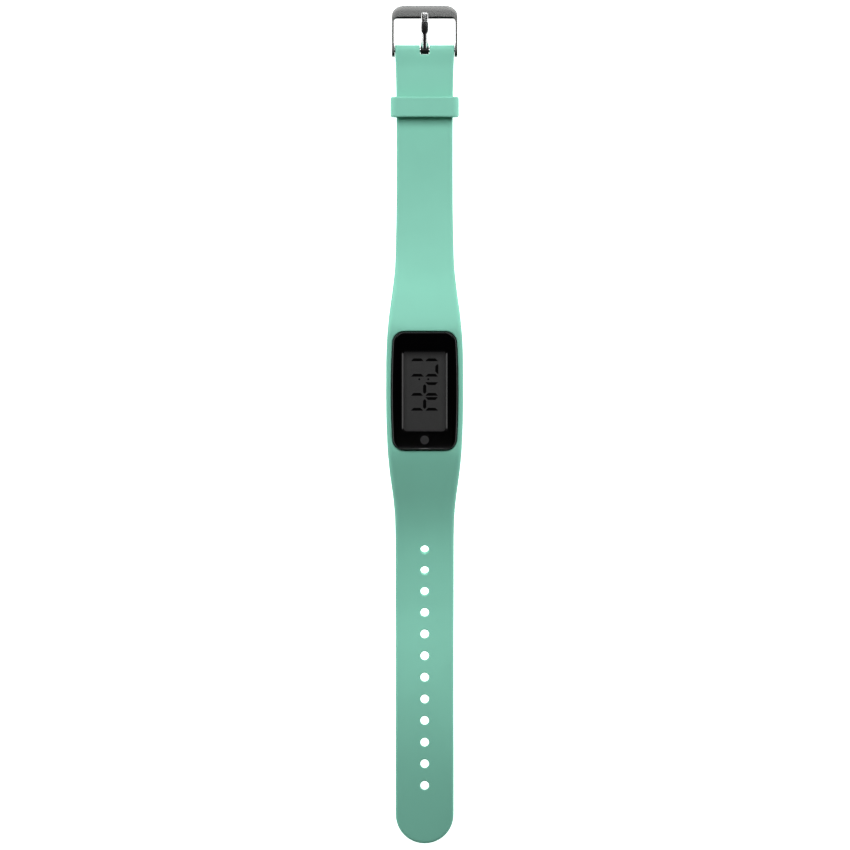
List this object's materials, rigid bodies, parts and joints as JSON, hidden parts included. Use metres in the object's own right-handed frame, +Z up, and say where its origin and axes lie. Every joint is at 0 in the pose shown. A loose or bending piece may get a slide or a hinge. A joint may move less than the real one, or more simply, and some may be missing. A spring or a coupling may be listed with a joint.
{
  "type": "fitness tracker band",
  "caption": "One-piece silicone wrist band with a snap-in display module in a raised cradle, a row of adjustment holes, a sliding keeper loop and a steel prong buckle.",
  "frame": {"origin": "middle of the footprint, on the table plane the open band lies on", "axes": "X across the strap, +Y along the strap from the round tip toward the buckle, +Z up out of the display"},
  "size_m": [0.023, 0.2512, 0.0202],
  "materials": {
    "mint_silicone": "moulded silicone, satin",
    "satin_steel": "fine satin brushed",
    "polished_steel": "polished",
    "bright_steel": "bright drawn",
    "gloss_black": "high gloss",
    "dark_grey_plastic": "fine matt",
    "clear_window": "clear acrylic, polished",
    "bezel_grey": "fine matt",
    "lcd_panel": "smooth film",
    "lcd_segment": "flat",
    "black_rubber": "matt",
    "board_green": "solder mask",
    "chip_black": "matt",
    "switch_cream": "matt",
    "can_steel": "nickel plated",
    "ceramic_tan": "matt",
    "contact_brass": "plated strip"
  },
  "bodies": {
    "cradle": {"band_cradle": "mint_silicone"},
    "tail_neck_a": {"tail_neck_a": "mint_silicone"},
    "tail_neck_b": {"tail_neck_b": "mint_silicone"},
    "tail_link_1": {"tail_link_1": "mint_silicone"},
    "tail_link_2": {"tail_link_2": "mint_silicone"},
    "tail_link_3": {"tail_link_3": "mint_silicone"},
    "tail_link_4": {"tail_link_4": "mint_silicone"},
    "tail_link_5": {"tail_link_5": "mint_silicone"},
    "tail_tip": {"tail_tip": "mint_silicone"},
    "clasp_neck_a": {"clasp_neck_a": "mint_silicone"},
    "clasp_neck_b": {"clasp_neck_b": "mint_silicone"},
    "clasp_link_1": {"clasp_link_1": "mint_silicone"},
    "clasp_link_2": {"clasp_link_2": "mint_silicone"},
    "clasp_link_3": {"clasp_link_3": "mint_silicone"},
    "clasp_end": {"clasp_end": "mint_silicone"},
    "keeper": {"strap_keeper": "mint_silicone"},
    "buckle": {"buckle_frame": "satin_steel", "spring_bar_tube": "bright_steel", "spring_bar_tips": "bright_steel", "spring_bar_spring": "bright_steel"},
    "prong": {"buckle_prong": "polished_steel"},
    "module": {"front_cover": "gloss_black", "display_window": "clear_window", "lcd_frame": "bezel_grey", "lcd_glass": "lcd_panel", "lcd_digits": "lcd_segment", "zebra_strips": "black_rubber", "circuit_board": "board_green", "motion_sensor": "chip_black", "processor_blob": "chip_black", "crystal": "can_steel", "chip_capacitors": "ceramic_tan", "tact_switch": "switch_cream", "coin_cell": "can_steel", "cell_contact_negative": "contact_brass", "cell_contact_positive": "contact_brass", "back_cover": "gloss_black", "case_gasket": "black_rubber", "case_screws": "bright_steel"},
    "button": {"function_button": "dark_grey_plastic"},
    "door_seal": {"door_seal": "black_rubber"},
    "battery_door": {"battery_door": "dark_grey_plastic"}
  },
  "joints": [
    {"name": "tail_curl", "type": "hinge", "parent": "cradle", "child": "tail_neck_a", "pos_m": [0, -0.01285, 0.01139], "axis": [1, 0, 0], "range_deg": [-3, 8], "stiffness_Nm_per_rad": 0.1},
    {"name": "tail_flex_2", "type": "hinge", "parent": "tail_neck_a", "child": "tail_neck_b", "pos_m": [0, -0.02345, 0.00945], "axis": [1, 0, 0], "range_deg": [-4.5, 12], "stiffness_Nm_per_rad": 0.06},
    {"name": "tail_flex_3", "type": "hinge", "parent": "tail_neck_b", "child": "tail_link_1", "pos_m": [0, -0.03385, 0.00563], "axis": [1, 0, 0], "range_deg": [-6, 16], "stiffness_Nm_per_rad": 0.02},
    {"name": "tail_flex_4", "type": "hinge", "parent": "tail_link_1", "child": "tail_link_2", "pos_m": [0, -0.04662, 0.00253], "axis": [1, 0, 0], "range_deg": [-6, 16], "stiffness_Nm_per_rad": 0.02},
    {"name": "tail_flex_5", "type": "hinge", "parent": "tail_link_2", "child": "tail_link_3", "pos_m": [0, -0.05945, 0.00108], "axis": [1, 0, 0], "range_deg": [-6, 16], "stiffness_Nm_per_rad": 0.02},
    {"name": "tail_flex_6", "type": "hinge", "parent": "tail_link_3", "child": "tail_link_4", "pos_m": [0, -0.07245, 0.001], "axis": [1, 0, 0], "range_deg": [-6, 16], "stiffness_Nm_per_rad": 0.02},
    {"name": "tail_flex_7", "type": "hinge", "parent": "tail_link_4", "child": "tail_link_5", "pos_m": [0, -0.08545, 0.001], "axis": [1, 0, 0], "range_deg": [-6, 16], "stiffness_Nm_per_rad": 0.02},
    {"name": "tail_flex_8", "type": "hinge", "parent": "tail_link_5", "child": "tail_tip", "pos_m": [0, -0.09842, 0.001], "axis": [1, 0, 0], "range_deg": [-6, 16], "stiffness_Nm_per_rad": 0.02},
    {"name": "clasp_curl", "type": "hinge", "parent": "cradle", "child": "clasp_neck_a", "pos_m": [0, 0.03315, 0.01141], "axis": [-1, 0, 0], "range_deg": [-2.7, 10], "stiffness_Nm_per_rad": 0.1},
    {"name": "clasp_flex_2", "type": "hinge", "parent": "clasp_neck_a", "child": "clasp_neck_b", "pos_m": [0, 0.04375, 0.00981], "axis": [-1, 0, 0], "range_deg": [-4.05, 15], "stiffness_Nm_per_rad": 0.06},
    {"name": "clasp_flex_3", "type": "hinge", "parent": "clasp_neck_b", "child": "clasp_link_1", "pos_m": [0, 0.05415, 0.00649], "axis": [-1, 0, 0], "range_deg": [-5.94, 22], "stiffness_Nm_per_rad": 0.02},
    {"name": "clasp_flex_4", "type": "hinge", "parent": "clasp_link_1", "child": "clasp_link_2", "pos_m": [0, 0.06565, 0.0039], "axis": [-1, 0, 0], "range_deg": [-5.94, 22], "stiffness_Nm_per_rad": 0.02},
    {"name": "clasp_flex_5", "type": "hinge", "parent": "clasp_link_2", "child": "clasp_link_3", "pos_m": [0, 0.07715, 0.00266], "axis": [-1, 0, 0], "range_deg": [-5.94, 22], "stiffness_Nm_per_rad": 0.02},
    {"name": "clasp_flex_6", "type": "hinge", "parent": "clasp_link_3", "child": "clasp_end", "pos_m": [0, 0.08875, 0.0025], "axis": [-1, 0, 0], "range_deg": [-5.94, 22], "stiffness_Nm_per_rad": 0.02},
    {"name": "keeper_slide", "type": "slide", "parent": "clasp_end", "child": "keeper", "axis": [0, 1, 0], "range_m": [-0.003, 0.009]},
    {"name": "buckle_swivel", "type": "hinge", "parent": "clasp_end", "child": "buckle", "pos_m": [0, 0.11251, 0.0025], "axis": [1, 0, 0], "range_deg": [-60, 35]},
    {"name": "prong_pivot", "type": "hinge", "parent": "buckle", "child": "prong", "pos_m": [0, 0.11251, 0.0025], "axis": [1, 0, 0], "range_deg": [0, 48]},
    {"name": "module_pop", "type": "slide", "parent": "cradle", "child": "module", "axis": [0, 0, 1], "range_m": [0, 0.014]},
    {"name": "button_press", "type": "slide", "parent": "module", "child": "button", "axis": [0, 0, -1], "range_m": [0, 0.0003], "stiffness_N_per_m": 3000, "springref_m": -0.0003},
    {"name": "door_lift", "type": "slide", "parent": "module", "child": "door_seal", "axis": [0, 0, -1], "range_m": [0, 0.006]},
    {"name": "door_turn", "type": "hinge", "parent": "door_seal", "child": "battery_door", "pos_m": [0, 0.01015, 0.011], "axis": [0, 0, -1], "range_deg": [0, 40]}
  ],
  "couplings": [
    {"joint": "tail_flex_2", "follows": "tail_curl", "ratio": 1.5},
    {"joint": "tail_flex_3", "follows": "tail_curl", "ratio": 2},
    {"joint": "tail_flex_4", "follows": "tail_curl", "ratio": 2},
    {"joint": "tail_flex_5", "follows": "tail_curl", "ratio": 2},
    {"joint": "tail_flex_6", "follows": "tail_curl", "ratio": 2},
    {"joint": "tail_flex_7", "follows": "tail_curl", "ratio": 2},
    {"joint": "tail_flex_8", "follows": "tail_curl", "ratio": 2},
    {"joint": "clasp_flex_2", "follows": "clasp_curl", "ratio": 1.5},
    {"joint": "clasp_flex_3", "follows": "clasp_curl", "ratio": 2.2},
    {"joint": "clasp_flex_4", "follows": "clasp_curl", "ratio": 2.2},
    {"joint": "clasp_flex_5", "follows": "clasp_curl", "ratio": 2.2},
    {"joint": "clasp_flex_6", "follows": "clasp_curl", "ratio": 2.2}
  ]
}
